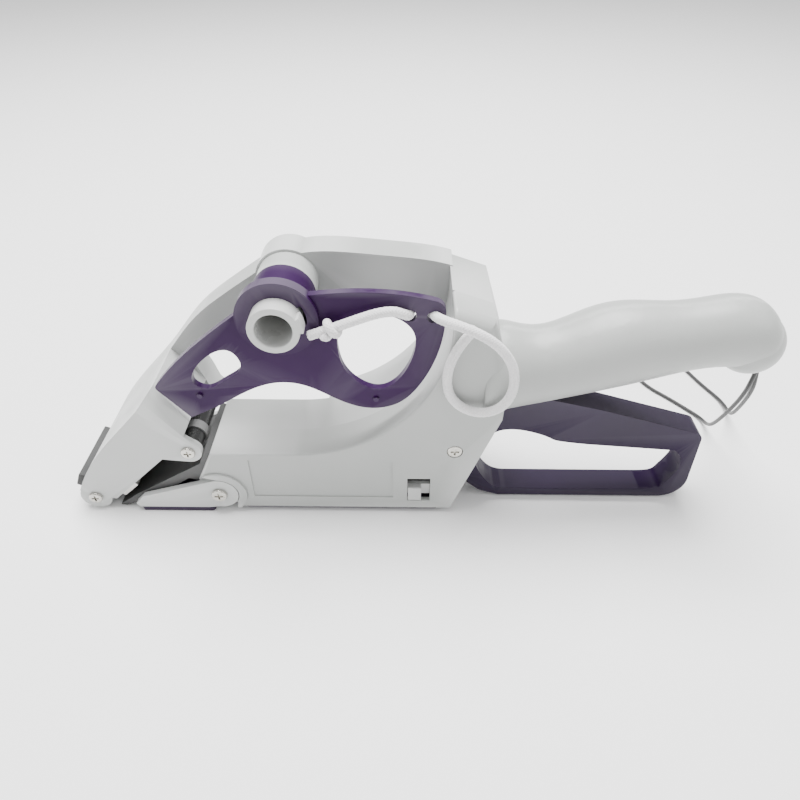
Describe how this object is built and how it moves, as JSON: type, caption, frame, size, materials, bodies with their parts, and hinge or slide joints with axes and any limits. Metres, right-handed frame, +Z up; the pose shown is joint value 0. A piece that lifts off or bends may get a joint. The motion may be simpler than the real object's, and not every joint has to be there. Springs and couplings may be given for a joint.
{
  "type": "hand label applicator",
  "caption": "Hand-held applicator for rolls of small self-adhesive labels: arched spindle, removable roll guide, roller nose, hinged gate, finger trigger, grip handle, cord loops.",
  "frame": {"origin": "on the plane of the flat base, straight below the axis of the label roll's spindle", "axes": "+X from the nose towards the handle's end, +Y away from the open side where the roll is loaded, +Z up from the base"},
  "size_m": [0.3184, 0.1349, 0.1155],
  "materials": {
    "casing_white": "fine satin moulded plastic, cool grey-white",
    "bright_white": "smooth white plastic",
    "aubergine": "satin aubergine plastic",
    "base_purple": "satin dark aubergine plastic",
    "gate_white": "satin grey-white plastic",
    "chute_black": "satin black plastic",
    "steel": "zinc-plated steel",
    "spring_steel": "drawn spring wire",
    "roller_black": "matt black rubber",
    "roller_core": "black plastic roller",
    "ring_grey": "grey rubber ring",
    "works_white": "natural moulded plastic",
    "rope_white": "white braided cord",
    "strap_black": "thin black cord"
  },
  "bodies": {
    "casing": {"near_shell": "casing_white", "far_shell": "casing_white", "arch_cover": "casing_white", "nose_cover": "casing_white", "nose_roller_axle": "steel", "web_roller_axle": "steel", "nose_screws": "steel", "peel_bar": "steel", "label_chute": "chute_black", "base_plate": "base_purple", "gate_pivot_screws": "steel", "spindle_tube": "bright_white", "trigger_pin": "steel", "trigger_spring": "spring_steel", "slide_guide": "works_white", "shaft_bushes": "works_white", "press_axle": "steel", "case_screw_near": "steel", "case_screws_far": "steel", "strap_cord": "strap_black", "press_pad": "roller_black"},
    "trigger": {"trigger": "aubergine", "drive_pin": "steel"},
    "feed_slide": {"feed_slide": "works_white", "pawl_pin": "steel"},
    "feed_pawl": {"feed_pawl": "works_white"},
    "drive": {"drive_shaft": "steel", "drive_roller": "roller_black", "ratchet_wheel": "works_white"},
    "press_roller": {"press_roller": "roller_core"},
    "gate": {"gate_arm_near": "gate_white", "gate_arm_far": "gate_white", "gate_plate": "base_purple", "gate_axle": "steel"},
    "gate_roller": {"gate_roller": "roller_black"},
    "web_roller": {"web_roller": "roller_core", "web_roller_ring": "ring_grey"},
    "nose_roller": {"nose_roller": "roller_black"},
    "roll_guide": {"roll_guide": "aubergine", "rope_tail": "rope_white", "rope_loop": "rope_white"},
    "latch": {"latch_tab": "bright_white"}
  },
  "joints": [
    {"name": "trigger_swing", "type": "hinge", "parent": "casing", "child": "trigger", "pos_m": [0.0775, -0.008, 0.052], "axis": [0, -1, 0], "range_deg": [0, 14], "stiffness_Nm_per_rad": 2, "deforming": ["trigger_spring"]},
    {"name": "slide_travel", "type": "slide", "parent": "casing", "child": "feed_slide", "axis": [1, 0, 0], "range_m": [0, 0.00845]},
    {"name": "pawl_swing", "type": "hinge", "parent": "feed_slide", "child": "feed_pawl", "pos_m": [0.0022, 0, 0.0246], "axis": [0, 1, 0], "range_deg": [0, 6], "stiffness_Nm_per_rad": 0.02},
    {"name": "drive_spin", "type": "hinge", "parent": "casing", "child": "drive", "pos_m": [-0.014, 0, 0.0175], "axis": [0, 1, 0], "continuous": true},
    {"name": "press_roller_spin", "type": "hinge", "parent": "casing", "child": "press_roller", "pos_m": [-0.02835, 0, 0.0175], "axis": [0, 1, 0], "continuous": true},
    {"name": "gate_swing", "type": "hinge", "parent": "casing", "child": "gate", "pos_m": [-0.0345, 0, 0.0117], "axis": [0, -1, 0], "range_deg": [0, 40]},
    {"name": "gate_roller_spin", "type": "hinge", "parent": "gate", "child": "gate_roller", "pos_m": [-0.058, 0, 0.0076], "axis": [0, 1, 0], "continuous": true},
    {"name": "web_roller_spin", "type": "hinge", "parent": "casing", "child": "web_roller", "pos_m": [-0.044, 0, 0.036], "axis": [0, 1, 0], "continuous": true},
    {"name": "nose_roller_spin", "type": "hinge", "parent": "casing", "child": "nose_roller", "pos_m": [-0.091, 0, 0.0076], "axis": [0, 1, 0], "continuous": true},
    {"name": "guide_pull", "type": "slide", "parent": "casing", "child": "roll_guide", "axis": [0, -1, 0], "range_m": [0, 0.03]},
    {"name": "latch_slide", "type": "slide", "parent": "casing", "child": "latch", "axis": [1, 0, 0], "range_m": [0, 0.0034], "stiffness_N_per_m": 200}
  ],
  "couplings": [
    {"joint": "slide_travel", "follows": "trigger_swing", "m_per_rad": 0.03454}
  ]
}
